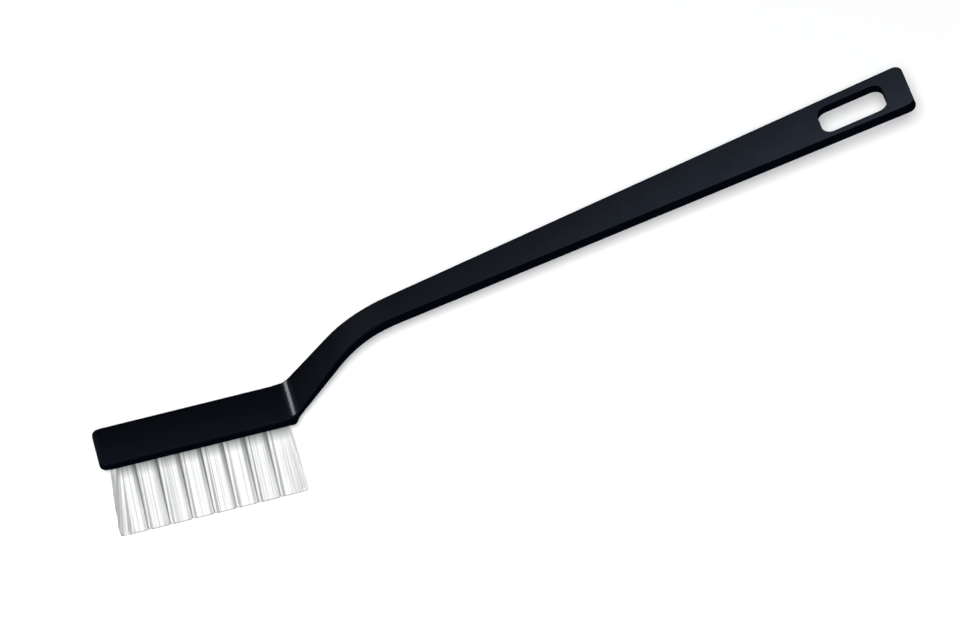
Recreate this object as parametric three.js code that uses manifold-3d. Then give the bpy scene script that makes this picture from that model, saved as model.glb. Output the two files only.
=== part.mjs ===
// A hand brush for cleaning polishing pads: a moulded strap handle, bent at the neck, whose head
// carries two rows of nylon tufts. Each tuft is folded over a flat wire anchor in a blind hole.
// Millimetres, +Z up, bristles down. +X runs from the nose to the tail, +Y from front to rear.
import * as THREE from "three";
import { mergeGeometries, mergeVertices } from "three/addons/utils/BufferGeometryUtils.js";
import Module from "manifold-3d";

const wasm = await Module();
wasm.setup();

// Head
const HEAD_LENGTH = 49.65;
const HEAD_WIDTH = 13;
const HEAD_THICKNESS = 3;
const HEAD_EDGE_RADIUS = 1.2;
const NOSE_CORNER_RADIUS = 1.7;
const HEAD_END_LEAN = 0.8;
const HEAD_END_BLEND = 1.1;

// Neck, from the crease behind the head to the corner of the bend
const NECK_LENGTH = 27.8;
const NECK_ANGLE = 47.3;
const NECK_THICKNESS = 1.4;
const CREASE_BLEND = 1.6;
const NECK_ROOT_BLEND = 0.5;
const BEND_BLEND = 9.6;

// Handle, from the corner of the bend to the tail, and its width at the waist and at the tail
const HANDLE_LENGTH = 148.15;
const HANDLE_ANGLE = 13.5;
const HANDLE_THICKNESS = 2.65;
const HANDLE_EDGE_RADIUS = 0.4;
const WAIST_WIDTH = 7.5;
const WAIST_DISTANCE = 28.2;
const WAIST_ROUNDING = 0.6;
const TAIL_WIDTH = 14.6;
const TAIL_CORNER_RADIUS = 2.2;

// Hang slot: the walls left on each side of it, its length, its distance from the tail, its corners
const SLOT_FRONT_WALL = 2.35;
const SLOT_REAR_WALL = 3.35;
const SLOT_LENGTH = 17.1;
const SLOT_TAIL_WALL = 6.2;
const SLOT_CORNER_RADIUS = 2.6;

// Tuft field: walls left round it, spacing along the head, how far the rear row is set towards
// the nose, blind holes
const FIELD_NOSE_WALL = 2.8;
const FIELD_NECK_WALL = 0.9;
const FIELD_SIDE_WALL = 0.95;
const FIELD_CORNER_RADIUS = 0.8;
const TUFT_PITCH = 5.55;
const ROW_STAGGER = 0.9;
const HOLE_DIAMETER = 4.8;
const HOLE_WEB = 0.5;

// Tufts: the slice of backing at their roots, the strands and how they flare and fan out
const SLICE_THICKNESS = 1;
const BRISTLE_LENGTH = 24.8;
const ROOT_DIAMETER = 4.95;
const TIP_DIAMETER = 5.3;
const STRAND_WIDTH = 0.42;
const STRAND_COUNT = 26;
const STRAND_BITE = 0.3;
const ROW_FAN = 1.035;

// Flat wire anchors
const ANCHOR_THICKNESS = 0.4;
const ANCHOR_HEIGHT = 0.8;
const FOLD_THICKNESS = 0.3;

// Clearance between pieces that touch on the real brush
const FIT_GAP = 0.3;

// Facets, and the largest corner radius of a plate as a share of its side
const CORNER_STEPS = 5;
const BLEND_STEPS = 8;
const EDGE_STEPS = 3;
const ROUND_SIDES = 20;
const SLOT_CURVE_STEPS = 6;
const ROUND_LIMIT = 0.48;

const neckSlope = THREE.MathUtils.degToRad(NECK_ANGLE);
const handleSlope = THREE.MathUtils.degToRad(HANDLE_ANGLE);
const ROWS = ["front", "rear"];
const HALVES = ["nose", "neck"];

const plastic = new THREE.MeshStandardMaterial({ color: 0x12161d, roughness: 0.5, metalness: 0 });
const nylon = new THREE.MeshStandardMaterial({ color: 0xf1f2f0, roughness: 0.4, metalness: 0 });
const wire = new THREE.MeshStandardMaterial({ color: 0xb7b8ba, roughness: 0.35, metalness: 1 });

// A closed three.js geometry as a solid that can be joined and cut.
function solid(geometry) {
  const bare = geometry.index ? geometry.clone() : mergeVertices(geometry);
  bare.deleteAttribute("normal");
  bare.deleteAttribute("uv");
  const merged = mergeVertices(bare);
  const vertProperties = new Float32Array(merged.attributes.position.array);
  const triVerts = new Uint32Array(merged.index.array);
  return new wasm.Manifold(new wasm.Mesh({ numProp: 3, vertProperties, triVerts }));
}

function meshOf(name, body, material) {
  const { vertProperties, triVerts } = body.getMesh();
  const geometry = new THREE.BufferGeometry();
  geometry.setAttribute("position", new THREE.BufferAttribute(new Float32Array(vertProperties), 3));
  geometry.setIndex(new THREE.BufferAttribute(new Uint32Array(triVerts), 1));
  geometry.computeVertexNormals();
  const mesh = new THREE.Mesh(geometry, material);
  mesh.name = name;
  return mesh;
}

function box(xSize, ySize, zSize, x, y, z) {
  return new THREE.BoxGeometry(xSize, ySize, zSize).translate(x, y, z);
}

// A rounded rectangle in plan, extruded upwards from z.
function roundedPlate(xSize, ySize, radius, height, x, y, z) {
  const r = Math.min(radius, ROUND_LIMIT * xSize, ROUND_LIMIT * ySize);
  const right = xSize / 2 - r;
  const back = ySize / 2 - r;
  const shape = new THREE.Shape();
  shape.absarc(right, back, r, 0, Math.PI / 2);
  shape.absarc(-right, back, r, Math.PI / 2, Math.PI);
  shape.absarc(-right, -back, r, Math.PI, Math.PI * 1.5);
  shape.absarc(right, -back, r, Math.PI * 1.5, Math.PI * 2);
  const options = { depth: height, bevelEnabled: false, curveSegments: SLOT_CURVE_STEPS };
  return new THREE.ExtrudeGeometry(shape, options).translate(x, y, z);
}

// Side view: a point in the XZ plane, moved along a slope or square to it, below the strap.
function along(point, slope, distance) {
  return new THREE.Vector2(point.x + distance * Math.cos(slope), point.y + distance * Math.sin(slope));
}

function below(point, slope, distance) {
  return new THREE.Vector2(point.x + distance * Math.sin(slope), point.y - distance * Math.cos(slope));
}

// A line through corners, each inner corner softened by a curve that starts its blend away.
function softLine(start, corners, end) {
  const points = [start];
  corners.forEach(({ at, blend }, i) => {
    const before = i ? corners[i - 1].at : start;
    const after = i + 1 < corners.length ? corners[i + 1].at : end;
    const from = at.clone().add(before.clone().sub(at).setLength(blend));
    const to = at.clone().add(after.clone().sub(at).setLength(blend));
    points.push(...new THREE.QuadraticBezierCurve(from, at, to).getPoints(BLEND_STEPS));
  });
  points.push(end);
  return points;
}

// The strap's corners in side view, along its upper face and along its underside.
const nose = new THREE.Vector2(0, 0);
const crease = new THREE.Vector2(HEAD_LENGTH, 0);
const bend = along(crease, neckSlope, NECK_LENGTH);
const tail = along(bend, handleSlope, HANDLE_LENGTH);
const neckRoot = below(crease, neckSlope, NECK_THICKNESS);
const headEnd = new THREE.Vector2(neckRoot.x - HEAD_END_LEAN, -HEAD_THICKNESS);
const overHeadEnd = new THREE.Vector2(HEAD_LENGTH - 2 * CREASE_BLEND, 0);
const mitre = HANDLE_THICKNESS / Math.cos((neckSlope - handleSlope) / 2);
const underBend = below(bend, (neckSlope + handleSlope) / 2, mitre);
const underNose = below(nose, 0, HEAD_THICKNESS);
const underTail = below(tail, handleSlope, HANDLE_THICKNESS);

const upperLine = softLine(nose, [
  { at: overHeadEnd, blend: CREASE_BLEND / 2 },
  { at: crease, blend: CREASE_BLEND },
  { at: bend, blend: BEND_BLEND },
], tail);
const underLine = softLine(underNose, [
  { at: headEnd, blend: HEAD_END_BLEND },
  { at: neckRoot, blend: NECK_ROOT_BLEND },
  { at: underBend, blend: BEND_BLEND },
], underTail);

// Half the strap's width at a distance along its upper face: level over the head, then the neck's
// taper and the handle's taper, which meet in a rounded waist.
const handleRun = upperLine.slice(1).reduce((sum, point, i) => sum + point.distanceTo(upperLine[i]), 0);
function halfWidth(run) {
  const neckTaper = (WAIST_WIDTH - HEAD_WIDTH) / WAIST_DISTANCE;
  const handleTaper = (TAIL_WIDTH - WAIST_WIDTH) / (handleRun - HEAD_LENGTH - WAIST_DISTANCE);
  const fromWaist = run - HEAD_LENGTH - WAIST_DISTANCE;
  const neckLine = WAIST_WIDTH + neckTaper * fromWaist;
  const handleLine = WAIST_WIDTH + handleTaper * fromWaist;
  const average = (neckLine + handleLine) / 2;
  const rounded = average + Math.hypot((neckLine - handleLine) / 2, WAIST_ROUNDING);
  return Math.min(HEAD_WIDTH, rounded) / 2;
}

// Cross sections of the strap from nose to tail. Each knows its two side-view points, its half
// width and its edge radius, and how far a corner of the plan has turned there.
function strapSections() {
  const sections = [];
  const turns = Array.from({ length: CORNER_STEPS + 1 }, (_, i) => (i / CORNER_STEPS) * (Math.PI / 2));
  const noseEnd = { end: "nose", corner: NOSE_CORNER_RADIUS, half: HEAD_WIDTH / 2, edge: HEAD_EDGE_RADIUS };
  const tailEnd = { end: "tail", corner: TAIL_CORNER_RADIUS, half: TAIL_WIDTH / 2, edge: HANDLE_EDGE_RADIUS };
  for (const turn of turns.slice().reverse()) {
    sections.push({ ...noseEnd, turn });
  }
  let run = 0;
  for (let i = 1; i + 1 < upperLine.length; i += 1) {
    run += upperLine[i].distanceTo(upperLine[i - 1]);
    const pastHead = THREE.MathUtils.clamp((i - 1 - BLEND_STEPS) / BLEND_STEPS, 0, 1);
    const edge = THREE.MathUtils.lerp(HEAD_EDGE_RADIUS, HANDLE_EDGE_RADIUS, pastHead);
    sections.push({ upper: upperLine[i], under: underLine[i], half: halfWidth(run), edge });
  }
  for (const turn of turns) {
    sections.push({ ...tailEnd, turn });
  }
  return sections;
}

// One edge of the strap: every section's point at a given turn of the rounded edge, on the upper
// or the lower face.
function strapEdge(sections, edgeTurn, onTop) {
  return sections.map((section) => {
    const inset = section.edge * (1 - Math.sin(edgeTurn));
    const depth = section.edge * (1 - Math.cos(edgeTurn));
    let { upper, under } = section;
    let half = section.half - inset;
    if (section.end) {
      const turnRadius = section.corner - inset;
      const setBack = inset + turnRadius * (1 - Math.sin(section.turn));
      half = section.half - section.corner + turnRadius * Math.cos(section.turn);
      const atNose = section.end === "nose";
      upper = atNose ? along(nose, 0, setBack) : along(tail, handleSlope, -setBack);
      under = atNose ? along(underNose, 0, setBack) : along(underTail, handleSlope, -setBack);
    }
    const face = onTop ? upper : under;
    const other = onTop ? under : upper;
    const at = face.clone().add(other.clone().sub(face).setLength(depth));
    return { x: at.x, z: at.y, half };
  });
}

// The strap as one closed skin: edges stacked from the underside to the upper face, mirrored from
// front to rear.
function strapGeometry() {
  const sections = strapSections();
  const edges = [];
  for (let i = 0; i <= EDGE_STEPS; i += 1) {
    edges.push(strapEdge(sections, (i / EDGE_STEPS) * (Math.PI / 2), false));
  }
  for (let i = EDGE_STEPS; i >= 0; i -= 1) {
    edges.push(strapEdge(sections, (i / EDGE_STEPS) * (Math.PI / 2), true));
  }
  const count = sections.length;
  const positions = [];
  for (const edge of edges) {
    for (const { x, z, half } of edge) {
      positions.push(x, -half, z, x, half, z);
    }
  }
  const vertex = (layer, section, side) => (layer * count + section) * 2 + side;
  const index = [];
  const quad = (a, b, c, d) => index.push(a, b, c, a, c, d);
  const topLayer = edges.length - 1;
  for (let s = 0; s + 1 < count; s += 1) {
    const t = s + 1;
    for (let k = 0; k < topLayer; k += 1) {
      quad(vertex(k, s, 0), vertex(k, t, 0), vertex(k + 1, t, 0), vertex(k + 1, s, 0));
      quad(vertex(k, s, 1), vertex(k + 1, s, 1), vertex(k + 1, t, 1), vertex(k, t, 1));
    }
    quad(vertex(topLayer, s, 0), vertex(topLayer, t, 0), vertex(topLayer, t, 1), vertex(topLayer, s, 1));
    quad(vertex(0, s, 0), vertex(0, s, 1), vertex(0, t, 1), vertex(0, t, 0));
  }
  const last = count - 1;
  for (let k = 0; k < topLayer; k += 1) {
    quad(vertex(k, 0, 0), vertex(k + 1, 0, 0), vertex(k + 1, 0, 1), vertex(k, 0, 1));
    quad(vertex(k, last, 0), vertex(k, last, 1), vertex(k + 1, last, 1), vertex(k + 1, last, 0));
  }
  const geometry = new THREE.BufferGeometry();
  geometry.setAttribute("position", new THREE.BufferAttribute(new Float32Array(positions), 3));
  geometry.setIndex(index);
  return geometry;
}

// The tuft field: a shallow recess in the head's underside that the tufts' backing slices fill.
const fieldLength = HEAD_LENGTH - FIELD_NOSE_WALL - FIELD_NECK_WALL;
const fieldWidth = HEAD_WIDTH - 2 * FIELD_SIDE_WALL;
const fieldCentre = FIELD_NOSE_WALL + fieldLength / 2;
const columns = Math.floor((fieldLength - FIT_GAP - ROW_STAGGER) / TUFT_PITCH);
const laneWidth = fieldWidth / ROWS.length;
const underside = -HEAD_THICKNESS;
const sliceTop = underside + SLICE_THICKNESS;
const recessTop = sliceTop + FIT_GAP;
const holeTop = -HOLE_WEB;
const foldTop = holeTop - FIT_GAP;
const plugDiameter = HOLE_DIAMETER - 2 * FIT_GAP;
const anchorLength = HOLE_DIAMETER - 2 * FIT_GAP;
const anchorTop = foldTop - FOLD_THICKNESS - FIT_GAP;

function columnX(row, column) {
  const stagger = ((ROWS.length - 1) / 2 - row) * ROW_STAGGER;
  return fieldCentre + stagger + (column - (columns - 1) / 2) * TUFT_PITCH;
}

function rowY(row) {
  return (row - (ROWS.length - 1) / 2) * laneWidth;
}

function handle() {
  let body = solid(strapGeometry());
  const recessDepth = recessTop - underside;
  const recess = roundedPlate(
    fieldLength, fieldWidth, FIELD_CORNER_RADIUS,
    recessDepth * 2, fieldCentre, 0, recessTop - recessDepth * 2,
  );
  body = body.subtract(solid(recess));
  const holeDepth = holeTop - underside;
  for (let row = 0; row < ROWS.length; row += 1) {
    for (let column = 0; column < columns; column += 1) {
      const hole = new THREE.CylinderGeometry(HOLE_DIAMETER / 2, HOLE_DIAMETER / 2, holeDepth, ROUND_SIDES);
      hole.rotateX(Math.PI / 2).translate(columnX(row, column), rowY(row), holeTop - holeDepth / 2);
      body = body.subtract(solid(hole));
    }
  }
  const slotCentre = along(tail, handleSlope, -SLOT_TAIL_WALL - SLOT_LENGTH / 2);
  const slotHeight = 2 * (SLOT_LENGTH + HANDLE_THICKNESS);
  const slot = roundedPlate(
    SLOT_LENGTH * Math.cos(handleSlope), TAIL_WIDTH - SLOT_FRONT_WALL - SLOT_REAR_WALL, SLOT_CORNER_RADIUS,
    slotHeight, slotCentre.x, (SLOT_FRONT_WALL - SLOT_REAR_WALL) / 2, slotCentre.y - slotHeight / 2,
  );
  return meshOf("handle", body.subtract(solid(slot)), plastic);
}

// One strand, from inside its backing slice down to the flat trim plane.
function strand(row, column, number) {
  const goldenAngle = Math.PI * (3 - Math.sqrt(5));
  const reach = Math.sqrt((number + 0.5) / STRAND_COUNT) / 2;
  const turn = number * goldenAngle;
  const rootReach = reach * (ROOT_DIAMETER - STRAND_WIDTH * Math.SQRT2);
  const tipReach = reach * (TIP_DIAMETER - STRAND_WIDTH * Math.SQRT2);
  const root = new THREE.Vector3(
    columnX(row, column) + rootReach * Math.cos(turn),
    rowY(row) + rootReach * Math.sin(turn),
    underside + STRAND_BITE,
  );
  const tip = new THREE.Vector3(
    fieldCentre + (columnX(row, column) - fieldCentre) * ROW_FAN + tipReach * Math.cos(turn),
    rowY(row) + tipReach * Math.sin(turn),
    underside - BRISTLE_LENGTH,
  );
  const height = root.z - tip.z;
  const geometry = new THREE.BoxGeometry(STRAND_WIDTH, STRAND_WIDTH, height).translate(0, 0, height / 2);
  const leanX = (root.x - tip.x) / height;
  const leanY = (root.y - tip.y) / height;
  geometry.applyMatrix4(new THREE.Matrix4().makeShear(0, 0, 0, 0, leanX, leanY));
  return geometry.translate(tip.x, tip.y, tip.z);
}

// A run of tufts in one row: their backing slice, the folded roots with a tunnel for each anchor,
// and the strands.
function tufts(name, row, firstColumn, count) {
  const lastColumn = firstColumn + count - 1;
  const reach = (TUFT_PITCH - FIT_GAP) / 2;
  const fieldReach = fieldLength / 2 - FIT_GAP;
  const start = firstColumn === 0 ? fieldCentre - fieldReach : columnX(row, firstColumn) - reach;
  const end = lastColumn === columns - 1 ? fieldCentre + fieldReach : columnX(row, lastColumn) + reach;
  const sliceWidth = laneWidth - 2 * FIT_GAP;
  let body = solid(roundedPlate(
    end - start, sliceWidth, FIELD_CORNER_RADIUS,
    SLICE_THICKNESS, (start + end) / 2, rowY(row), underside,
  ));
  const strands = [];
  for (let column = firstColumn; column <= lastColumn; column += 1) {
    const plugHeight = foldTop - sliceTop + SLICE_THICKNESS / 2;
    const plug = new THREE.CylinderGeometry(plugDiameter / 2, plugDiameter / 2, plugHeight, ROUND_SIDES);
    plug.rotateX(Math.PI / 2).translate(columnX(row, column), rowY(row), foldTop - plugHeight / 2);
    body = body.add(solid(plug));
    const tunnelHeight = ANCHOR_HEIGHT + 2 * FIT_GAP;
    const tunnelZ = anchorTop + FIT_GAP - tunnelHeight / 2;
    const tunnel = box(
      ANCHOR_THICKNESS + 2 * FIT_GAP, HOLE_DIAMETER, tunnelHeight, columnX(row, column), rowY(row), tunnelZ,
    );
    body = body.subtract(solid(tunnel));
    for (let number = 0; number < STRAND_COUNT; number += 1) {
      strands.push(strand(row, column, number));
    }
  }
  return meshOf(name, body.add(solid(mergeGeometries(strands))), nylon);
}

function anchor(row, column) {
  const geometry = box(ANCHOR_THICKNESS, anchorLength, ANCHOR_HEIGHT, 0, 0, 0);
  const mesh = new THREE.Mesh(geometry, wire);
  mesh.name = `anchor_${ROWS[row]}_${column + 1}`;
  mesh.position.set(columnX(row, column), rowY(row), anchorTop - ANCHOR_HEIGHT / 2);
  return mesh;
}

const brush = new THREE.Group();
brush.add(handle());
const noseColumns = Math.ceil(columns / 2);
for (let row = 0; row < ROWS.length; row += 1) {
  brush.add(tufts(`bristles_${ROWS[row]}_${HALVES[0]}`, row, 0, noseColumns));
  brush.add(tufts(`bristles_${ROWS[row]}_${HALVES[1]}`, row, noseColumns, columns - noseColumns));
  for (let column = 0; column < columns; column += 1) {
    brush.add(anchor(row, column));
  }
}

// The origin lies under the middle of the brush, level with the bristle tips.
const extent = new THREE.Box3().setFromObject(brush);
const middle = extent.getCenter(new THREE.Vector3());
brush.position.set(-middle.x, -middle.y, -extent.min.z);

export default brush;
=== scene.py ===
import math
import random

import bmesh
import bpy
from bpy.props import FloatProperty, FloatVectorProperty, IntProperty, PointerProperty
from mathutils import Matrix, Quaternion, Vector


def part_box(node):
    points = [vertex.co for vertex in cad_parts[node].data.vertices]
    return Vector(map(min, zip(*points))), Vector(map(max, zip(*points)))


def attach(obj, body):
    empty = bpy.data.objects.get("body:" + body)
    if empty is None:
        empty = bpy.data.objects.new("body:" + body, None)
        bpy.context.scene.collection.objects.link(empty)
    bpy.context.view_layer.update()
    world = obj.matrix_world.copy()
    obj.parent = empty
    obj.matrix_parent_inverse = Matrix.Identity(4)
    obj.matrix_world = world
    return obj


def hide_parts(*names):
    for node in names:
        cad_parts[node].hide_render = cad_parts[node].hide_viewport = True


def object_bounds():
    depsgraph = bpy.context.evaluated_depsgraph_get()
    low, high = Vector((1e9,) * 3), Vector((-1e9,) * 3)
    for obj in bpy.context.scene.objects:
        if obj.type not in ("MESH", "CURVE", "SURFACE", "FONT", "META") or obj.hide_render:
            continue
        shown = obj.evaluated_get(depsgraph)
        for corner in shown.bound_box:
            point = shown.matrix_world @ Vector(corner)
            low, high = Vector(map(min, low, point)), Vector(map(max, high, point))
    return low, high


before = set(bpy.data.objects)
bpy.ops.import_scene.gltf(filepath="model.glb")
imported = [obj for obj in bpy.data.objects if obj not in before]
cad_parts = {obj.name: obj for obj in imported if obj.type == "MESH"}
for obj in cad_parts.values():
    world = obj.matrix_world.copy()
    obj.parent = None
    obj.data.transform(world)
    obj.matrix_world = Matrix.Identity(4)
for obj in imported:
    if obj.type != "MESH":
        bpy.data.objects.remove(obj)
CAD_LOW, CAD_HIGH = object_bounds()

bl_info = {
    "name": "Pad cleaning brush",
    "version": (1, 0, 0),
    "blender": (4, 5, 0),
    "location": "3D View > Sidebar > Pad brush",
    "description": "Models a bent strap handle with white nylon tufts round the brush's frame",
    "category": "Add Mesh",
}

MM = 0.001
NEAR = 0.01 * MM
ROWS = ("front", "rear")


# Sizes and finishes

def length(name, description, millimetres):
    return FloatProperty(
        name=name, description=description, default=millimetres * MM,
        min=0, precision=5, subtype="DISTANCE", unit="LENGTH",
    )


def angle(name, description, degrees):
    return FloatProperty(
        name=name, description=description, default=math.radians(degrees),
        subtype="ANGLE", unit="ROTATION",
    )


def share(name, description, value):
    return FloatProperty(name=name, description=description, default=value, min=0, precision=4)


def number(name, description, value, least=0):
    return IntProperty(name=name, description=description, default=value, min=least)


def colour(name, description, value):
    return FloatVectorProperty(
        name=name, description=description, default=value, size=3, min=0, max=1, subtype="COLOR",
    )


class StrapSizes(bpy.types.PropertyGroup):
    """The moulded strap: head, neck, handle, hang slot and tuft holes"""

    head_length: length("Head length", "From the nose to the crease", 49.65)
    head_width: length("Head width", "Across the head", 13)
    head_thickness: length("Head thickness", "From the head's back to its underside", 3)
    head_edge: length("Head edge radius", "Rounding along the head's edges", 1.2)
    nose_corner: length("Nose corner radius", "Rounding of the nose in plan", 1.7)
    end_lean: length("Head end lean", "How far the head's end leans out under the neck", 0.8)
    end_blend: length("Head end blend", "Softening of the head's lower end", 1.1)
    neck_length: length("Neck length", "From the crease to the corner of the bend", 27.8)
    neck_angle: angle("Neck angle", "Slope of the neck above the head", 47.3)
    neck_thickness: length("Neck thickness", "Thickness of the neck at the crease", 1.4)
    crease_blend: length("Crease blend", "Softening of the crease behind the head", 1.6)
    root_blend: length("Neck root blend", "Softening of the corner under the neck", 0.5)
    bend_blend: length("Bend blend", "Length of the curve on each side of the bend", 9.6)
    handle_length: length("Handle length", "From the corner of the bend to the tail", 148.15)
    handle_angle: angle("Handle angle", "Slope of the handle above the head", 13.5)
    handle_thickness: length("Handle thickness", "Thickness of the straight handle", 2.65)
    handle_edge: length("Handle edge radius", "Rounding along the handle's edges", 0.4)
    waist_width: length("Waist width", "Width where the two tapers meet", 7.5)
    waist_distance: length("Waist distance", "From the crease to the waist", 28.2)
    waist_rounding: length("Waist rounding", "Softening of the waist in plan", 0.6)
    tail_width: length("Tail width", "Width at the tail", 14.6)
    tail_corner: length("Tail corner radius", "Rounding of the tail in plan", 2.2)
    slot_length: length("Slot length", "Length of the hang slot", 17.1)
    slot_front: length("Slot front wall", "From the slot to the front edge at tail width", 2.35)
    slot_rear: length("Slot rear wall", "From the slot to the rear edge at tail width", 3.35)
    slot_tail: length("Slot tail wall", "From the slot to the tail", 6.2)
    slot_corner: length("Slot corner radius", "Rounding of the slot in plan", 2.6)
    slot_rim: length("Slot rim", "Rounding of the slot's upper rim", 0.2)
    slot_under_rim: length("Slot lower rim", "Rounding of the slot's lower rim", 1)
    hole_diameter: length("Hole diameter", "Blind holes that hold the tufts", 4.8)
    hole_web: length("Hole web", "Plastic left above the holes", 0.5)


class TuftSizes(bpy.types.PropertyGroup):
    """The nylon tufts"""

    stand: length("Bristle length", "From the head's underside to the tips", 24.8)
    embed: length("Embedded length", "How far the filaments reach into the head", 0.7)
    root_diameter: length("Root diameter", "Width of a tuft at its root", 5.65)
    tip_width: length("Tip width", "Width of a tuft at its tips, along the head", 5.6)
    tip_depth: length("Tip depth", "Width of a tuft at its tips, across the head", 5.4)
    square_root: share("Square roots", "How square a tuft is at its root, 2 for round", 3)
    square_tip: share("Square tips", "How square a tuft is at its tips, 2 for round", 9)
    nose_pinch: share("Nose pinch", "Share left of the first tufts' nose side at the root", 0.56)
    nose_flare: length("Nose flare", "How far the first front tuft splays to the nose", 1.55)
    rear_flare: length("Rear nose flare", "How far the first rear tuft splays to the nose", 0.25)
    neck_flare: length("Neck flare", "How far the last tufts splay to the neck", 1.45)
    fan: share("Fan", "How much further apart the tips stand than the roots", 0.0225)
    root_drift: length("Root drift", "How far the roots sit to the nose of their holes", 0.8)
    tip_drift: length("Tip drift", "How far the tips stand to the nose of their holes", 0.75)
    filament: length("Filament diameter", "Thickness of one filament", 0.28)
    bow: length("Filament bow", "How far a filament bows out of line", 0.08)
    split: length("Split", "Width at the tips of the gap where a tuft parts", 0.16)
    count: number("Filaments", "Filaments in a tuft", 250, least=1)
    rim_count: number("Outer filaments", "Filaments round a tuft's edge", 88, least=1)
    seed: number("Seed", "Start of the filaments' small differences", 11)


class Finishes(bpy.types.PropertyGroup):
    """Colours of the brush's materials"""

    plastic: colour("Plastic", "Black of the strap's sides", (0.0008, 0.0012, 0.0025))
    # Painted sheen: the lighter tone that the strap's upward faces reach at the tail
    plastic_painted_sheen: colour(
        "Plastic, greyer", "Tone of the handled faces at the tail", (0.0275, 0.0335, 0.047),
    )
    rough: share("Roughness", "Roughness of the grained plastic", 0.55)
    rubbed: share("Rubbed roughness", "Roughness of the crease, rubbed smooth", 0.25)
    nylon: colour("Nylon", "White of the filaments", (0.775, 0.78, 0.785))
    # The painted shade of the filaments runs towards this tone
    nylon_grey: colour("Nylon, greyer", "Darkest tone of the filaments", (0.05, 0.053, 0.058))
    # Painted shade: how far below the head the roots are darkened where the head shades them
    root_shade: length("Root shade", "How far below the head the filaments are greyer", 4.9)
    wire: colour("Anchor wire", "Flat wire that holds the tufts", (0.42, 0.42, 0.43))


class StageSizes(bpy.types.PropertyGroup):
    """Floor, lamps and camera"""

    floor: colour("Floor", "Pale floor under the brush", (0.98, 0.98, 0.98))
    glow: share("Floor glow", "How much the floor is lifted to white in the picture", 0.065)
    sky: colour("Surroundings", "Soft light from above", (0.08, 0.082, 0.085))
    horizon: colour("Horizon", "Soft light from low round the room", (0.11, 0.113, 0.118))
    azimuth: angle("Camera azimuth", "Round the brush, from the front", -6.441)
    elevation: angle("Camera elevation", "Above the horizon", 44.784)
    roll: angle("Camera roll", "Turn of the picture", 9.295)
    distance: length("Camera distance", "From the point that the picture centres on", 1500)
    scale: share("Picture scale", "Pixels to the millimetre at that point", 4.05)


# Working on pieces

def choose(*pieces):
    """Selects these pieces alone and makes the first of them the active one."""
    bpy.ops.object.select_all(action="DESELECT")
    for piece in pieces:
        piece.select_set(True)
    bpy.context.view_layer.objects.active = pieces[0]


def start_edit(piece):
    choose(piece)
    bpy.ops.object.mode_set(mode="EDIT")
    bpy.ops.mesh.select_all(action="DESELECT")


def end_edit():
    bpy.ops.object.mode_set(mode="OBJECT")


def pick(piece, kind, test):
    """Selects the vertices, edges or faces that pass a test."""
    bpy.ops.mesh.select_mode(type=kind)
    bpy.ops.mesh.select_all(action="DESELECT")
    shape = bmesh.from_edit_mesh(piece.data)
    shape.normal_update()
    for part in {"VERT": shape.verts, "EDGE": shape.edges, "FACE": shape.faces}[kind]:
        if test(part):
            part.select_set(True)
    shape.select_flush_mode()
    bmesh.update_edit_mesh(piece.data)


def middle_of(edge):
    return (edge.verts[0].co + edge.verts[1].co) / 2


def changes_height(edge):
    return abs(edge.verts[0].co.z - edge.verts[1].co.z) > NEAR


def new_piece(name):
    """Names the piece that was just made and moves its place into its mesh."""
    piece = bpy.context.object
    piece.name = name
    piece.data.name = name
    bpy.ops.object.transform_apply(location=True, rotation=True, scale=True)
    return piece


def join(pieces):
    """Makes one piece of several."""
    choose(*pieces)
    bpy.ops.object.join()
    return pieces[0]


def apply_modifier(piece, kind, **settings):
    modifier = piece.modifiers.new(kind.lower(), kind)
    for key, value in settings.items():
        setattr(modifier, key, value)
    choose(piece)
    bpy.ops.object.modifier_apply(modifier=modifier.name)


def cut_away(piece, cutter):
    apply_modifier(piece, "BOOLEAN", operation="DIFFERENCE", solver="EXACT", object=cutter)
    bpy.data.objects.remove(cutter)


def shade(piece, degrees):
    """Shades faces as one where they meet at less than an angle."""
    choose(piece)
    bpy.ops.object.shade_smooth_by_angle(angle=math.radians(degrees))


def settle(piece, material, slot, *replaced):
    """Gives a finished piece its material and its place in the frame."""
    piece.data.materials.clear()
    piece.data.materials.append(material)
    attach(piece, "root")
    if replaced:
        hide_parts(*replaced)


# Materials. Most of a pattern lies between these values

PATTERN_START, PATTERN_END = 0.3, 0.7


def new_material(name):
    material = bpy.data.materials.new(name)
    material.use_nodes = True
    return material, material.node_tree.nodes, material.node_tree.links


def noise(nodes, links, scale, detail, stretch=(1, 1, 1)):
    """A noise pattern on the piece's own coordinates."""
    place = nodes.new("ShaderNodeTexCoord")
    mapping = nodes.new("ShaderNodeMapping")
    mapping.inputs["Scale"].default_value = stretch
    texture = nodes.new("ShaderNodeTexNoise")
    texture.inputs["Scale"].default_value = scale
    texture.inputs["Detail"].default_value = detail
    links.new(place.outputs["Object"], mapping.inputs["Vector"])
    links.new(mapping.outputs["Vector"], texture.inputs["Vector"])
    return texture.outputs["Fac"]


def attribute(nodes, name):
    node = nodes.new("ShaderNodeAttribute")
    node.attribute_name = name
    return node.outputs["Fac"]


def blend_colours(nodes, links, factor, low, high, start=0.35, end=0.65):
    ramp = nodes.new("ShaderNodeValToRGB")
    ramp.color_ramp.elements[0].position = start
    ramp.color_ramp.elements[1].position = end
    ramp.color_ramp.elements[0].color = (*low, 1)
    ramp.color_ramp.elements[1].color = (*high, 1)
    links.new(factor, ramp.inputs["Fac"])
    return ramp.outputs["Color"]


def map_range(nodes, links, value, start, end, low, high):
    """A value that runs from low to high while another runs from start to end."""
    node = nodes.new("ShaderNodeMapRange")
    node.inputs["From Min"].default_value = start
    node.inputs["From Max"].default_value = end
    node.inputs["To Min"].default_value = low
    node.inputs["To Max"].default_value = high
    links.new(value, node.inputs["Value"])
    return node.outputs["Result"]


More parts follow.
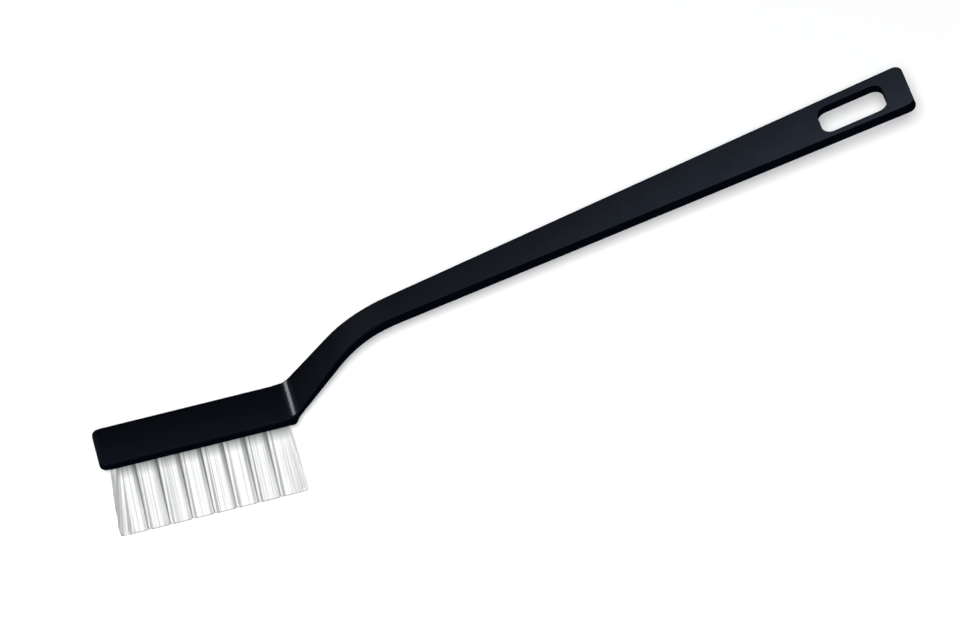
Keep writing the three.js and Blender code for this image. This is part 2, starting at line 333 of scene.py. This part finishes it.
def spread(nodes, links, pattern, low, high):
    """Spreads a pattern between two values."""
    return map_range(nodes, links, pattern, PATTERN_START, PATTERN_END, low, high)


def along(nodes, links, axis, start, end, low, high, place="Object"):
    """A value that runs from low to high along an axis, by place or by the surface's turn."""
    coordinates = nodes.new("ShaderNodeTexCoord")
    parts = nodes.new("ShaderNodeSeparateXYZ")
    links.new(coordinates.outputs[place], parts.inputs["Vector"])
    return map_range(nodes, links, parts.outputs[axis], start, end, low, high)


def combine(nodes, links, operation, first, second):
    node = nodes.new("ShaderNodeMath")
    node.operation = operation
    links.new(first, node.inputs[0])
    links.new(second, node.inputs[1])
    return node.outputs["Value"]


def product(nodes, links, first, *others):
    for other in others:
        first = combine(nodes, links, "MULTIPLY", first, other)
    return first


# Black plastic: patterns as scale and detail, tones as shares of the painted sheen colour
MOTTLE = (160, 4)
GRAIN = (3200, 3)
MOTTLE_TONE = (0.9, 1.1)
GRAIN_TONE = (0.8, 1.2)
MOTTLE_ROUGH = (0.92, 1.08)
# Painted sheen on the upward faces: its tone at the crease and what the tail adds to it, each at
# the front and at the rear edge
CREASE_TONE = (0.11, 0.005)
TAIL_TONE = (0.54, 0.39)
# Between which turns of the surface it counts as clear of the front edge, and as facing up. Only
# faces that face up take the painted sheen; past the bend the front edge's rounding is left without
# it as painted shade, with less gloss
CLEAR_OF_EDGE = (-0.55, -0.1)
FACING_UP = (0.15, 0.6)
# How far the rubbed crease reaches to the head and up the neck, in crease blends
RUBBED_HEAD, RUBBED_NECK = 1.2, 1.4
# Gloss of the faces and of the rubbed crease
GLOSS = (0.06, 0.5)
PLASTIC_IOR = 1.46
GRAIN_STRENGTH = 0.2
GRAIN_DEPTH = 0.02 * MM


def grained_plastic(finishes, sizes, crease_x):
    """Fine-grained black plastic with painted sheen on its upward faces, lighter towards the tail
    and the front edge, and rubbed smooth at the crease.
    """
    material, nodes, links = new_material("grained black plastic")
    shader = nodes["Principled BSDF"]
    mottle = noise(nodes, links, *MOTTLE)
    grain = noise(nodes, links, *GRAIN)

    half = sizes.head_width / 2
    bend_x = crease_x + math.cos(sizes.neck_angle) * sizes.neck_length
    to_tail = along(nodes, links, "X", crease_x, CAD_HIGH[0], 0, 1)
    tail_tone = along(nodes, links, "Y", -half, half, *TAIL_TONE)
    crease_tone = along(nodes, links, "Y", -half, half, *CREASE_TONE)
    before_bend = along(nodes, links, "X", bend_x, bend_x + sizes.bend_blend, 1, 0)
    off_front_edge = along(nodes, links, "Y", *CLEAR_OF_EDGE, 0, 1, "Normal")
    upward = along(nodes, links, "Z", *FACING_UP, 0, 1, "Normal")
    # Painted sheen lies on faces that face up; past the bend the front edge's rounding keeps
    # painted shade
    lit = product(
        nodes, links, upward, combine(nodes, links, "MAXIMUM", before_bend, off_front_edge),
    )
    # The painted sheen grows lighter towards the tail and towards the front edge, over the grain
    tone = combine(nodes, links, "ADD", product(nodes, links, to_tail, tail_tone), crease_tone)
    tone = product(
        nodes, links, tone, lit,
        spread(nodes, links, mottle, *MOTTLE_TONE), spread(nodes, links, grain, *GRAIN_TONE),
    )
    links.new(
        blend_colours(nodes, links, tone, finishes.plastic, finishes.plastic_painted_sheen, 0, 1),
        shader.inputs["Base Color"],
    )

    rubbed_start = crease_x - RUBBED_HEAD * sizes.crease_blend
    rubbed_end = crease_x + RUBBED_NECK * sizes.crease_blend
    before = along(nodes, links, "X", rubbed_start, crease_x, 0, 1)
    after = along(nodes, links, "X", crease_x, rubbed_end, 1, 0)
    crease = product(nodes, links, combine(nodes, links, "MINIMUM", before, after), lit)
    rough = spread(nodes, links, crease, finishes.rough, finishes.rubbed)
    links.new(
        product(nodes, links, rough, spread(nodes, links, mottle, *MOTTLE_ROUGH)),
        shader.inputs["Roughness"],
    )
    links.new(
        product(nodes, links, spread(nodes, links, crease, *GLOSS), off_front_edge),
        shader.inputs["Specular IOR Level"],
    )
    shader.inputs["IOR"].default_value = PLASTIC_IOR
    bump = nodes.new("ShaderNodeBump")
    bump.inputs["Strength"].default_value = GRAIN_STRENGTH
    bump.inputs["Distance"].default_value = GRAIN_DEPTH
    links.new(grain, bump.inputs["Height"])
    links.new(bump.outputs["Normal"], shader.inputs["Normal"])
    return material


# Nylon: painted shade, as how light it is at the root under the head and at the trimmed ends on the
# floor, and the heights where those fade
ROOT_LIGHT = 0.14
TRIM_LIGHT = 0.42
TRIM_HEIGHTS = (0.2 * MM, 0.5 * MM)
# How much painted shade darkens a tuft's shaded side low down and at the root, and where that
# starts
SIDE_DARK = (0.22, 0.62)
SIDE_DARK_START = 0.3
LENGTHWISE = (900, 2, (1, 1, 0.15))
NYLON_ROUGH = (0.28, 0.42)
NYLON_IOR = 1.53


def white_nylon(finishes, tufts):
    """White nylon, each filament with its own tone, with painted shade towards its root, at its
    trimmed ends and on its tuft's shaded side.
    """
    material, nodes, links = new_material("white nylon filament")
    shader = nodes["Principled BSDF"]
    tone = attribute(nodes, "tone")
    side = attribute(nodes, "side")
    root_start = tufts.stand - finishes.root_shade
    # Painted shade at the roots under the head, and at the ends where they meet the floor
    root = along(nodes, links, "Z", root_start, tufts.stand, 1, ROOT_LIGHT)
    trim = along(nodes, links, "Z", *TRIM_HEIGHTS, TRIM_LIGHT, 1)
    # Painted shade on each tuft's side towards the next tuft, deeper near the root
    dark = along(nodes, links, "Z", SIDE_DARK_START * tufts.stand, tufts.stand, *SIDE_DARK)
    light = product(nodes, links, root, trim, tone)
    lost = product(nodes, links, light, product(nodes, links, side, dark))
    light = combine(nodes, links, "SUBTRACT", light, lost)
    links.new(
        blend_colours(nodes, links, light, finishes.nylon_grey, finishes.nylon, 0, 1),
        shader.inputs["Base Color"],
    )
    lengthwise = noise(nodes, links, *LENGTHWISE)
    links.new(spread(nodes, links, lengthwise, *NYLON_ROUGH), shader.inputs["Roughness"])
    shader.inputs["IOR"].default_value = NYLON_IOR
    return material


DRAWN = (4000, 2, (1, 0.05, 1))
WIRE_LIGHTER = 1.5
WIRE_ROUGH = (0.25, 0.45)


def anchor_wire(finishes):
    """Bright drawn wire with fine lines along it."""
    material, nodes, links = new_material("drawn anchor wire")
    shader = nodes["Principled BSDF"]
    drawn = noise(nodes, links, *DRAWN)
    light = tuple(min(1, WIRE_LIGHTER * part) for part in finishes.wire)
    links.new(blend_colours(nodes, links, drawn, finishes.wire, light), shader.inputs["Base Color"])
    links.new(spread(nodes, links, drawn, *WIRE_ROUGH), shader.inputs["Roughness"])
    shader.inputs["Metallic"].default_value = 1
    return material


# Handle: steps of its roundings, and the angle and weight of its shading
CURVE_STEPS = 10
CORNER_STEPS = 8
EDGE_STEPS = 5
UPPER_RIM_STEPS = 3
UNDER_RIM_STEPS = 5
HOLE_SIDES = 32
STRAP_SMOOTH = 35
FLAT_FACE_WEIGHT = 80
# How far a broad face may turn to a side, and how squarely an end face looks along the strap
BROAD_TURN = 0.02
END_TURN = 0.99
# Length in crease blends over which the edge radius changes, and the least angle at a slot's rim
EDGE_CHANGE = 3
RIM_ANGLE = 1


def slope(a):
    return Vector((math.cos(a), math.sin(a)))


def below(point, a, distance):
    return point + Vector((math.sin(a), -math.cos(a))) * distance


def soft_line(start, corners, end):
    """A line through corners, each softened by a curve that starts its blend away."""
    points = [start]
    for i, (at, blend) in enumerate(corners):
        before = corners[i - 1][0] if i else start
        after = corners[i + 1][0] if i + 1 < len(corners) else end
        first = at + (before - at).normalized() * blend
        last = at + (after - at).normalized() * blend
        for step in range(CURVE_STEPS + 1):
            t = step / CURVE_STEPS
            points.append(first * (1 - t) ** 2 + at * (2 * t * (1 - t)) + last * t * t)
    return points + [end]


def strap_lines(sizes, tufts):
    """The strap's upper face and underside in side view, in pairs of points, and its crease."""
    nose = Vector((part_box("handle")[0].x, tufts.stand + sizes.head_thickness))
    crease = nose + Vector((sizes.head_length, 0))
    bend = crease + slope(sizes.neck_angle) * sizes.neck_length
    tail = bend + slope(sizes.handle_angle) * sizes.handle_length
    neck_root = below(crease, sizes.neck_angle, sizes.neck_thickness)
    head_end = Vector((neck_root.x - sizes.end_lean, tufts.stand))
    over_head_end = crease - Vector((2 * sizes.crease_blend, 0))
    half_turn = (sizes.neck_angle - sizes.handle_angle) / 2
    mitre = sizes.handle_thickness / math.cos(half_turn)
    under_bend = below(bend, sizes.handle_angle + half_turn, mitre)
    under_nose = below(nose, 0, sizes.head_thickness)
    under_tail = below(tail, sizes.handle_angle, sizes.handle_thickness)
    upper = soft_line(nose, [
        (over_head_end, sizes.crease_blend / 2),
        (crease, sizes.crease_blend),
        (bend, sizes.bend_blend),
    ], tail)
    under = soft_line(under_nose, [
        (head_end, sizes.end_blend),
        (neck_root, sizes.root_blend),
        (under_bend, sizes.bend_blend),
    ], under_tail)
    return upper, under, crease


def strap_widths(sizes, upper):
    """The strap's width at each point of its upper face."""
    runs = [0]
    for last, point in zip(upper, upper[1:]):
        runs.append(runs[-1] + (point - last).length)
    neck_taper = (sizes.waist_width - sizes.head_width) / sizes.waist_distance
    handle_run = runs[-1] - sizes.head_length - sizes.waist_distance
    handle_taper = (sizes.tail_width - sizes.waist_width) / handle_run
    widths = []
    for run in runs:
        past_waist = run - sizes.head_length - sizes.waist_distance
        neck = sizes.waist_width + neck_taper * past_waist
        handle = sizes.waist_width + handle_taper * past_waist
        rounded = (neck + handle) / 2 + math.hypot((neck - handle) / 2, sizes.waist_rounding)
        on_neck = past_waist < 0
        widths.append(min(sizes.head_width, rounded) if on_neck else rounded)
    return widths


def extrude_strap(strap, upper, under, widths):
    """Extrudes the selected end face along the strap, setting its edges and width at each step."""
    for i in range(1, len(upper)):
        rise = upper[i] - upper[i - 1]
        drop = under[i] - under[i - 1] - rise
        bpy.ops.mesh.extrude_region_move(TRANSFORM_OT_translate={"value": (rise.x, 0, rise.y)})
        shape = bmesh.from_edit_mesh(strap.data)
        end = [v.index for v in shape.verts if v.select]
        at = upper[i]

        def on_under_edge(vertex):
            off = math.hypot(vertex.co.x - at.x, vertex.co.z - at.y)
            return vertex.index in end and off > NEAR

        pick(strap, "VERT", on_under_edge)
        bpy.ops.transform.translate(value=(drop.x, 0, drop.y))
        pick(strap, "VERT", lambda v: v.index in end)
        wider = widths[i] / widths[i - 1]
        bpy.ops.transform.resize(value=(1, wider, 1), center_override=(0, 0, 0))


def round_strap(strap, sizes, upper, under, crease):
    """Rounds the strap's corners in plan, then the edges between its broad faces and its sides."""
    def upright(edge, top, bottom):
        a, b = (Vector((v.co.x, v.co.z)) for v in edge.verts)
        same_side = abs(edge.verts[0].co.y - edge.verts[1].co.y) < NEAR
        ends = {(a - top).length < NEAR, (b - top).length < NEAR}
        lower = {(a - bottom).length < NEAR, (b - bottom).length < NEAR}
        return same_side and ends == {True, False} and lower == {True, False}

    for place, radius in ((0, sizes.nose_corner), (-1, sizes.tail_corner)):
        pick(strap, "EDGE", lambda e: upright(e, upper[place], under[place]))
        bpy.ops.mesh.bevel(offset=radius, segments=CORNER_STEPS, affect="EDGES")

    away = slope(sizes.handle_angle)
    out = Vector((away.x, 0, away.y))

    def is_broad(face):
        at_nose = face.normal.x <= -END_TURN
        at_tail = face.normal.dot(out) >= END_TURN
        return abs(face.normal.y) < BROAD_TURN and not at_nose and not at_tail

    shape = bmesh.from_edit_mesh(strap.data)
    shape.normal_update()
    weight = shape.edges.layers.float.new("bevel_weight_edge")
    broad = {face for face in shape.faces if is_broad(face)}
    least = sizes.handle_edge / sizes.head_edge
    for edge in shape.edges:
        if len(broad.intersection(edge.link_faces)) == 1:
            ahead = (crease.x - middle_of(edge).x) / (EDGE_CHANGE * sizes.crease_blend)
            edge[weight] = min(1, max(least, least + (1 - least) * ahead))
    bmesh.update_edit_mesh(strap.data)
    end_edit()
    apply_modifier(
        strap, "BEVEL", width=sizes.head_edge, segments=EDGE_STEPS, limit_method="WEIGHT",
        use_clamp_overlap=False,
    )


def cut_slot(strap, sizes, tail):
    """Cuts the hang slot straight down through the handle and rounds its rims."""
    back = slope(sizes.handle_angle) * (sizes.slot_tail + sizes.slot_length / 2)
    centre = tail - back
    span = sizes.slot_length * math.cos(sizes.handle_angle)
    breadth = sizes.tail_width - sizes.slot_front - sizes.slot_rear
    height = 2 * sizes.slot_length
    middle_y = (sizes.slot_front - sizes.slot_rear) / 2
    bpy.ops.mesh.primitive_cube_add(
        size=1, location=(centre.x, middle_y, centre.y), scale=(span, breadth, height),
    )
    cutter = new_piece("slot_cutter")
    start_edit(cutter)
    pick(cutter, "EDGE", changes_height)
    bpy.ops.mesh.bevel(offset=sizes.slot_corner, segments=CORNER_STEPS, affect="EDGES")
    end_edit()
    cut_away(strap, cutter)

    def on_rim(edge):
        middle = middle_of(edge)
        in_span = abs(middle.x - centre.x) < span / 2 + NEAR
        in_breadth = abs(middle.y - middle_y) < breadth / 2 + NEAR
        inside = in_span and in_breadth
        return inside and edge.is_manifold and edge.calc_face_angle() > RIM_ANGLE

    def on_upper_rim(edge):
        middle = middle_of(edge)
        face_z = centre.y + (middle.x - centre.x) * math.tan(sizes.handle_angle)
        return on_rim(edge) and middle.z > face_z - sizes.handle_thickness / 2

    start_edit(strap)
    pick(strap, "EDGE", on_upper_rim)
    bpy.ops.mesh.bevel(offset=sizes.slot_rim, segments=UPPER_RIM_STEPS, affect="EDGES")
    pick(strap, "EDGE", lambda e: on_rim(e) and not on_upper_rim(e))
    bpy.ops.mesh.bevel(offset=sizes.slot_under_rim, segments=UNDER_RIM_STEPS, affect="EDGES")
    end_edit()


def tuft_places():
    """Where each tuft's anchor stands, by row and column."""
    places = {}
    for row in ROWS:
        for name in sorted(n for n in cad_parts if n.startswith(f"anchor_{row}_")):
            low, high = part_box(name)
            places[row, int(name.split("_")[-1])] = (low + high) / 2
    return places


def cut_tuft_holes(strap, sizes, tufts):
    """Cuts the blind holes in the head's underside."""
    depth = sizes.head_thickness - sizes.hole_web
    cutters = []
    for place in tuft_places().values():
        bpy.ops.mesh.primitive_cylinder_add(
            vertices=HOLE_SIDES, radius=sizes.hole_diameter / 2, depth=2 * depth,
            location=(place.x, place.y, tufts.stand),
        )
        cutters.append(new_piece("hole_cutter"))
    cut_away(strap, join(cutters))


class PADBRUSH_OT_handle(bpy.types.Operator):
    """Extrudes the strap from nose to tail, rounds it and cuts the slot and the tuft holes"""

    bl_idname = "pad_brush.handle"
    bl_label = "Handle"

    def execute(self, context):
        sizes = context.scene.pad_brush_strap
        tufts = context.scene.pad_brush_tufts
        upper, under, crease = strap_lines(sizes, tufts)
        widths = strap_widths(sizes, upper)
        middle = (upper[0] + under[0]) / 2
        centre = (middle.x, 0, middle.y)
        bpy.ops.object.select_all(action="DESELECT")
        bpy.ops.mesh.primitive_plane_add(size=1, location=centre, rotation=(0, -math.pi / 2, 0))
        strap = new_piece("moulded_handle")
        start_edit(strap)
        bpy.ops.mesh.select_all(action="SELECT")
        bpy.ops.transform.resize(
            value=(1, widths[0], sizes.head_thickness), center_override=centre,
        )
        extrude_strap(strap, upper, under, widths)
        bpy.ops.mesh.select_all(action="SELECT")
        bpy.ops.mesh.normals_make_consistent(inside=False)
        round_strap(strap, sizes, upper, under, crease)
        cut_slot(strap, sizes, upper[-1])
        cut_tuft_holes(strap, sizes, tufts)
        shade(strap, STRAP_SMOOTH)
        apply_modifier(strap, "WEIGHTED_NORMAL", keep_sharp=True, weight=FLAT_FACE_WEIGHT)
        plastic = grained_plastic(context.scene.pad_brush_finishes, sizes, crease.x)
        settle(strap, plastic, "black_plastic", "handle")
        return {"FINISHED"}


# Tufts: the filament's make, and how far out the inner filaments stand
FILAMENT_SIDES = 6
FILAMENT_CUTS = 4
FILAMENT_SMOOTH = 40
INNER_REACH = 0.92
GOLDEN_TURN = math.pi * (3 - math.sqrt(5))
# Small differences: of the bow, as a share, and of the tips along and across the head
BOW_SPREAD = 0.5
TIP_SPREAD_X = 0.02 * MM
TIP_SPREAD_Y = 0.01 * MM
# Height below which the ends are trimmed flat, as a share of the bristles
TRIM_SHARE = 0.1
# Most that a filament's own tone is darker, less in the last tufts, and the power that makes
# dark ones rare
TONE_RANGE, LAST_TONE_RANGE = 0.45, 0.2
TONE_RARITY = 3
# Places in a tuft, from -1 at its nose side to 1 at its neck side: where it parts, the line of
# painted shade beside the parting, its ends with painted shade, and the side with painted shade
# towards the next tuft
PARTING, FIRST_PARTING = -0.85, -0.55
LINE_WIDTH, LINE_MIDDLE, LINE_FADE = 0.24, 0.105, 0.14
LINE_DARK, FIRST_LINE_DARK = 0.62, 0.3
NOSE_END, NOSE_END_TONE = -0.82, 0.6
NECK_END, NECK_END_TONE = 0.93, 0.52
SIDE_START, SIDE_RUN = 0.48, 0.22


def model_filament(tufts):
    """One straight filament that hangs down from its root, cut in rings."""
    reach = tufts.embed + tufts.stand
    bpy.ops.object.select_all(action="DESELECT")
    bpy.ops.mesh.primitive_cylinder_add(
        vertices=FILAMENT_SIDES, radius=tufts.filament / 2, depth=reach,
        location=(0, 0, -reach / 2),
    )
    filament = new_piece("filament")
    start_edit(filament)
    pick(filament, "EDGE", changes_height)
    bpy.ops.mesh.subdivide(number_cuts=FILAMENT_CUTS)
    end_edit()
    for name in ("tone", "side"):
        filament.data.attributes.new(name, "FLOAT", "POINT")
    return filament


def bowed(filament, tufts, tone, side, rng):
    """A copy of the filament with its own bow, its tone and its share of the painted shade on the
    tuft's side.
    """
    copy = filament.copy()
    copy.data = filament.data.copy()
    bpy.context.collection.objects.link(copy)
    bow = rng.gauss(0, BOW_SPREAD) * tufts.bow
    reach = tufts.embed + tufts.stand
    for vertex in copy.data.vertices:
        vertex.co.x += bow * math.sin(math.pi * min(1, -vertex.co.z / reach))
    for name, value in (("tone", tone), ("side", side)):
        values = [value] * len(copy.data.vertices)
        copy.data.attributes[name].data.foreach_set("value", values)
    return copy


def on_square(turn, power):
    """How far a rounded square reaches in a direction, where 2 gives a circle."""
    return (abs(math.cos(turn)) ** power + abs(math.sin(turn)) ** power) ** (-1 / power)


def filament_places(tufts):
    """How far out each filament of a tuft stands, as a share, and in which direction."""
    inner = tufts.count - tufts.rim_count
    for i in range(inner):
        yield INNER_REACH * math.sqrt((i + 0.5) / inner), i * GOLDEN_TURN
    for i in range(tufts.rim_count):
        yield 1, 2 * math.pi * (i + 0.5) / tufts.rim_count


def filament_tone(across, parting, first, last, rng):
    """How light a filament is: its own tone, with painted shade beside its tuft's parting and at
    the tuft's ends.
    """
    tone = 1 - (LAST_TONE_RANGE if last else TONE_RANGE) * rng.random() ** TONE_RARITY
    if across < parting:
        return tone * (NOSE_END_TONE if first and across < NOSE_END else 1)
    if across < parting + LINE_WIDTH:
        line = max(0, 1 - abs(across - parting - LINE_MIDDLE) / LINE_FADE)
        return tone * (1 - (FIRST_LINE_DARK if first else LINE_DARK) * line)
    if across > NECK_END and not last:
        return tone * NECK_END_TONE
    return tone


def gather_tuft(name, filament, tufts, place, lean, nose_flare, neck_flare, rng):
    """Stands copies of the filament side by side in a hole, flared, parted and trimmed flat."""
    root_radius = (tufts.root_diameter - tufts.filament) / 2
    tip_width = (tufts.tip_width - tufts.filament) / 2
    tip_depth = (tufts.tip_depth - tufts.filament) / 2
    first, last = nose_flare > 0, neck_flare > 0
    parting = FIRST_PARTING if first else PARTING
    shift = tufts.split / 3
    top = tufts.stand + tufts.embed
    copies = []
    for away, turn in filament_places(tufts):
        x = away * math.cos(turn)
        y = away * math.sin(turn)
        tip_reach = on_square(turn, tufts.square_tip)
        root_reach = root_radius * on_square(turn, tufts.square_root)
        across = x * tip_reach
        tone = filament_tone(across, parting, first, last, rng)
        # Share of the painted shade on the tuft's side towards the neck, none in the last tufts
        side = 0 if last else min(1, max(0, (across - SIDE_START) / SIDE_RUN))

        root_x = x * root_reach * (tufts.nose_pinch if first and x < 0 else 1)
        root = Vector((place.x - tufts.root_drift + root_x, place.y + y * root_reach, top))
        tip_x = across * tip_width + shift
        if across < parting:
            tip_x -= tufts.split
        tip_x += across * (nose_flare if across < 0 else neck_flare)
        tip_y = y * tip_reach * tip_depth
        tip = Vector((
            place.x + lean + tip_x + rng.gauss(0, TIP_SPREAD_X),
            place.y + tip_y + rng.gauss(0, TIP_SPREAD_Y),
            0,
        ))

        twist = Quaternion((0, 0, 1), rng.uniform(0, 2 * math.pi))
        copy = bowed(filament, tufts, tone, side, rng)
        aim = Vector((0, 0, -1)).rotation_difference(tip - root)
        copy.matrix_world = Matrix.LocRotScale(root, aim @ twist, None)
        copies.append(copy)
    join(copies)
    tuft = new_piece(name)
    start_edit(tuft)
    pick(tuft, "VERT", lambda v: v.co.z < TRIM_SHARE * tufts.stand)
    bpy.ops.transform.resize(value=(1, 1, 0), center_override=(0, 0, 0))
    end_edit()
    shade(tuft, FILAMENT_SMOOTH)
    return tuft


class PADBRUSH_OT_tufts(bpy.types.Operator):
    """Fills each hole with a tuft of nylon filaments"""

    bl_idname = "pad_brush.tufts"
    bl_label = "Tufts"

    def execute(self, context):
        tufts = context.scene.pad_brush_tufts
        nylon = white_nylon(context.scene.pad_brush_finishes, tufts)
        places = tuft_places()
        centre_x = sum(place.x for place in places.values()) / len(places)
        columns = max(column for row, column in places)
        rng = random.Random(tufts.seed)
        filament = model_filament(tufts)
        for (row, column), place in places.items():
            lean = (place.x - centre_x) * tufts.fan - tufts.tip_drift
            nose_flare = tufts.nose_flare if row == "front" else tufts.rear_flare
            tuft = gather_tuft(
                f"tuft_{row}_{column}", filament, tufts, place, lean,
                nose_flare * (column == 1), tufts.neck_flare * (column == columns), rng,
            )
            half = "nose" if column <= columns / 2 else "neck"
            settle(tuft, nylon, "white_nylon", f"bristles_{row}_{half}")
        bpy.data.objects.remove(filament)
        return {"FINISHED"}


# Anchors

class PADBRUSH_OT_anchors(bpy.types.Operator):
    """Finishes the flat wire anchors inside the holes"""

    bl_idname = "pad_brush.anchors"
    bl_label = "Anchors"

    def execute(self, context):
        wire = anchor_wire(context.scene.pad_brush_finishes)
        for name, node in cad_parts.items():
            if name.startswith("anchor_"):
                node.data.materials.clear()
                node.data.materials.append(wire)
        return {"FINISHED"}


# Stage: sizes in metres, and heights in the room from 0, level, to 1, straight up
FLOOR_SPAN = 30
FLOOR_DROP = 0.05 * MM
FLOOR_ROUGH = 0.9
FLOOR_GLOSS = 0.1
HORIZON_HEIGHT = 0.05
SKY_HEIGHT = 0.5
# Camera: the point that the picture centres on, the picture, and how near and far is drawn
PICTURE_CENTRE = Vector((-7.02, -2.063, 40.8)) * MM
PHOTO_WIDTH = 960
SENSOR_WIDTH = 36
CLIP_NEAR, CLIP_FAR = 0.05, 100
# How far over the camera and to its left the front and edge lamps hang, to a metre of distance
LAMPS_OVER = 0.0115
LAMPS_LEFT = 0.005


def pale_floor(sizes):
    """A pale matt floor that looks a little lighter and casts no more light for it."""
    material, nodes, links = new_material("pale floor")
    shader = nodes["Principled BSDF"]
    shader.inputs["Base Color"].default_value = (*sizes.floor, 1)
    shader.inputs["Roughness"].default_value = FLOOR_ROUGH
    shader.inputs["Specular IOR Level"].default_value = FLOOR_GLOSS
    shader.inputs["Emission Color"].default_value = (1, 1, 1, 1)
    path = nodes.new("ShaderNodeLightPath")
    mirrored = combine(
        nodes, links, "MAXIMUM", path.outputs["Is Glossy Ray"], path.outputs["Is Transmission Ray"],
    )
    seen = combine(nodes, links, "MAXIMUM", path.outputs["Is Camera Ray"], mirrored)
    lift = map_range(nodes, links, seen, 0, 1, 0, sizes.glow)
    links.new(lift, shader.inputs["Emission Strength"])
    return material


def dim_surroundings(scene, sizes):
    """A dim room: dark below, a little light above."""
    scene.world = scene.world or bpy.data.worlds.new("surroundings")
    scene.world.use_nodes = True
    nodes = scene.world.node_tree.nodes
    links = scene.world.node_tree.links
    place = nodes.new("ShaderNodeTexCoord")
    parts = nodes.new("ShaderNodeSeparateXYZ")
    links.new(place.outputs["Generated"], parts.inputs["Vector"])
    ramp = nodes.new("ShaderNodeValToRGB")
    heights = ramp.color_ramp.elements
    heights[0].color = (0, 0, 0, 1)
    heights[1].position = SKY_HEIGHT
    heights[1].color = (*sizes.sky, 1)
    heights.new(HORIZON_HEIGHT).color = (*sizes.horizon, 1)
    links.new(parts.outputs["Z"], ramp.inputs["Fac"])
    links.new(ramp.outputs["Color"], nodes["Background"].inputs["Color"])
    nodes["Background"].inputs["Strength"].default_value = 1


def set_camera(scene, sizes):
    """Sets up the camera, and gives the way to it and its turn before the roll."""
    level = math.cos(sizes.elevation)
    toward = Vector((
        math.sin(sizes.azimuth) * level, -math.cos(sizes.azimuth) * level,
        math.sin(sizes.elevation),
    ))
    aim = (-toward).to_track_quat("-Z", "Y")
    data = bpy.data.cameras.new("camera")
    data.sensor_width = SENSOR_WIDTH
    data.lens = sizes.scale / MM * sizes.distance * data.sensor_width / PHOTO_WIDTH
    data.clip_start = CLIP_NEAR
    data.clip_end = CLIP_FAR
    camera = bpy.data.objects.new("camera", data)
    scene.collection.objects.link(camera)
    camera.location = PICTURE_CENTRE + toward * sizes.distance
    camera.rotation_mode = "QUATERNION"
    camera.rotation_quaternion = aim @ Quaternion((0, 0, 1), -sizes.roll)
    scene.camera = camera
    return toward, aim


def add_lamp(name, direction, distance, size, power, along_line=(1, 0, 0)):
    """A soft lamp that faces the brush, with its longer side along a line."""
    data = bpy.data.lights.new(name, "AREA")
    data.shape = "RECTANGLE"
    data.size, data.size_y = size
    data.energy = power
    lamp = bpy.data.objects.new(name, data)
    bpy.context.scene.collection.objects.link(lamp)
    toward = Vector(direction).normalized()
    across = toward.cross(Vector(along_line)).normalized()
    lamp.location = PICTURE_CENTRE + toward * distance
    lamp.rotation_euler = Matrix((across.cross(toward), across, toward)).transposed().to_euler()
    return lamp


def hang_lamps(toward, aim):
    """Hangs the soft lamps. Only the edge and crease lamps shine back from the plastic."""
    right = aim @ Vector((1, 0, 0))
    up = aim @ Vector((0, 1, 0))
    by_camera = toward + up * LAMPS_OVER - right * LAMPS_LEFT
    front = add_lamp("front lamp", by_camera, distance=1.6, size=(0.078, 0.078), power=29)
    left = add_lamp("left lamp", (-0.8, -0.5, 0.2), distance=1.1, size=(0.3, 0.3), power=3)
    top = add_lamp("top lamp", (-0.25, -0.35, 1), distance=1.1, size=(0.3, 0.3), power=0.4)
    back = add_lamp("back lamp", (0.3, 0.9, 0.3), distance=1.2, size=(0.6, 0.6), power=3)
    edge = add_lamp("edge lamp", by_camera, distance=1.6, size=(0.062, 0.062), power=1)
    crease = add_lamp(
        "crease lamp", (-0.57, 0.705, 0.421), distance=0.9, size=(0.27, 0.1), power=1.03,
        along_line=(-0.72, 0, -0.69),
    )
    crease.data.color = (0.88, 0.94, 1)
    edge.visible_diffuse = False
    for lamp in (front, left, top, back):
        lamp.visible_glossy = False


class PADBRUSH_OT_stage(bpy.types.Operator):
    """Lays a pale floor, sets up the camera and hangs soft lamps"""

    bl_idname = "pad_brush.stage"
    bl_label = "Stage"

    def execute(self, context):
        sizes = context.scene.pad_brush_stage
        bpy.ops.object.select_all(action="DESELECT")
        bpy.ops.mesh.primitive_plane_add(size=FLOOR_SPAN, location=(0, 0, -FLOOR_DROP))
        floor = new_piece("floor")
        floor.data.materials.append(pale_floor(sizes))
        floor.visible_glossy = False
        dim_surroundings(context.scene, sizes)
        toward, aim = set_camera(context.scene, sizes)
        hang_lamps(toward, aim)
        context.scene.view_settings.view_transform = "Standard"
        return {"FINISHED"}


# Panel and register

GROUPS = {
    "pad_brush_strap": StrapSizes,
    "pad_brush_tufts": TuftSizes,
    "pad_brush_finishes": Finishes,
    "pad_brush_stage": StageSizes,
}
OPERATORS = (PADBRUSH_OT_handle, PADBRUSH_OT_tufts, PADBRUSH_OT_anchors, PADBRUSH_OT_stage)


class PADBRUSH_PT_panel(bpy.types.Panel):
    """The brush's pieces and sizes"""

    bl_idname = "PADBRUSH_PT_panel"
    bl_label = "Pad brush"
    bl_space_type = "VIEW_3D"
    bl_region_type = "UI"
    bl_category = "Pad brush"

    def draw(self, context):
        for operator in OPERATORS:
            self.layout.operator(operator.bl_idname)
        for name in GROUPS:
            column = self.layout.column(align=True)
            group = getattr(context.scene, name)
            for key in group.bl_rna.properties.keys():
                if key not in {"rna_type", "name"}:
                    column.prop(group, key)


CLASSES = (*GROUPS.values(), *OPERATORS, PADBRUSH_PT_panel)


def register():
    for made in CLASSES:
        bpy.utils.register_class(made)
    for name, group in GROUPS.items():
        setattr(bpy.types.Scene, name, PointerProperty(type=group))


def unregister():
    for name in GROUPS:
        delattr(bpy.types.Scene, name)
    for made in reversed(CLASSES):
        bpy.utils.unregister_class(made)


def main():
    register()
    bpy.ops.pad_brush.handle()
    bpy.ops.pad_brush.tufts()
    bpy.ops.pad_brush.anchors()
    bpy.ops.pad_brush.stage()


if __name__ == "__main__":
    main()
